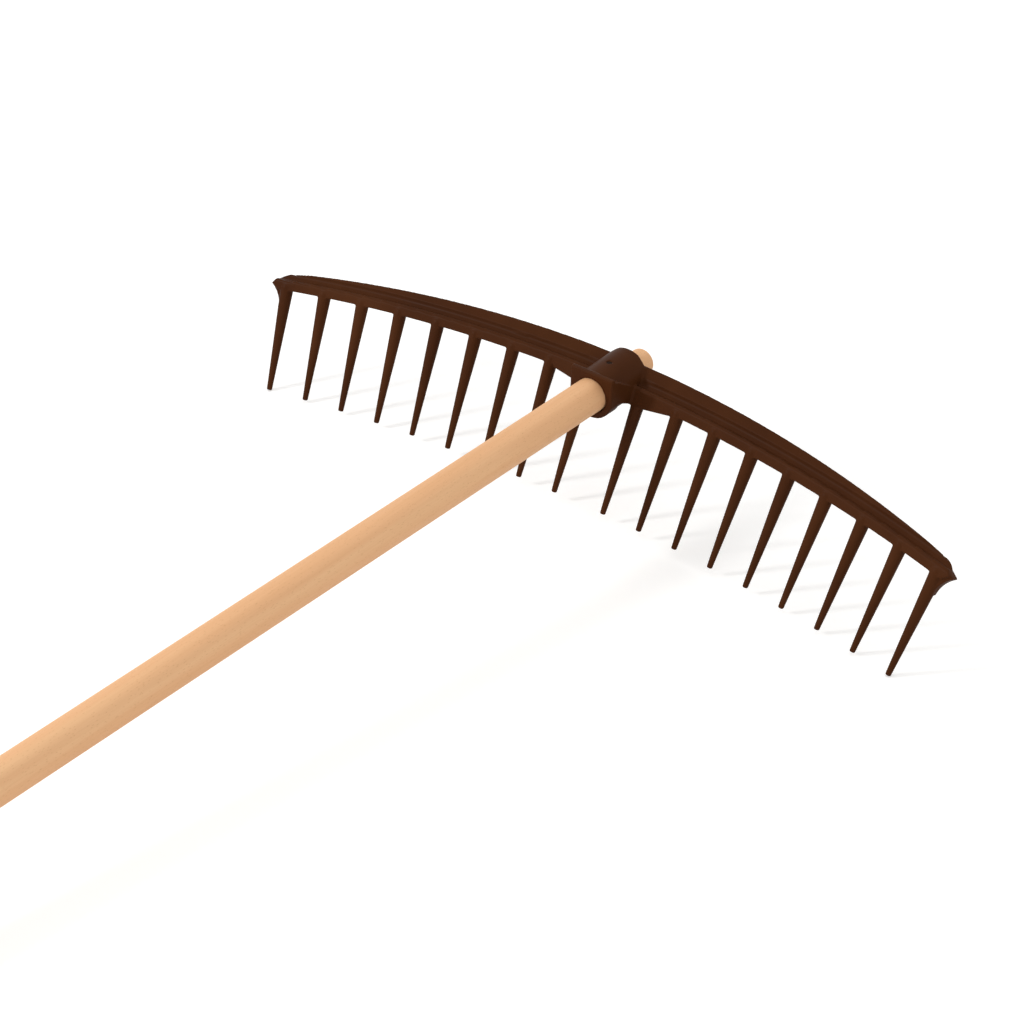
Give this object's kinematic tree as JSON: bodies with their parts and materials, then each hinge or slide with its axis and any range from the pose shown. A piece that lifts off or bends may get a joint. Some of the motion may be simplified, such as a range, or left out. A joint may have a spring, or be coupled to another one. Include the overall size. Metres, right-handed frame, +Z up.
{
  "type": "hay rake",
  "caption": "Wide bow-headed hay rake with one row of long tapered teeth, a moulded socket and a plain round wooden handle.",
  "frame": {"origin": "centre of the footprint of the whole rake on the floor that it lies on", "axes": "+Z up from the floor, +Y from the butt of the handle to the head, +X across the head to the right as seen from the grip"},
  "size_m": [0.6602, 1.498, 0.1264],
  "materials": {
    "moulded_plastic": "satin moulded",
    "beech": "sanded, bare",
    "nail_steel": "dull"
  },
  "bodies": {
    "root": {"handle": "beech", "socket": "moulded_plastic", "bar_left": "moulded_plastic", "bar_right": "moulded_plastic", "fixing_nail": "nail_steel", "tooth_01": "moulded_plastic", "tooth_02": "moulded_plastic", "tooth_03": "moulded_plastic", "tooth_04": "moulded_plastic", "tooth_05": "moulded_plastic", "tooth_06": "moulded_plastic", "tooth_07": "moulded_plastic", "tooth_08": "moulded_plastic", "tooth_09": "moulded_plastic", "tooth_10": "moulded_plastic", "tooth_11": "moulded_plastic", "tooth_12": "moulded_plastic", "tooth_13": "moulded_plastic", "tooth_14": "moulded_plastic", "tooth_15": "moulded_plastic", "tooth_16": "moulded_plastic", "tooth_17": "moulded_plastic", "tooth_18": "moulded_plastic"}
  },
  "joints": []
}
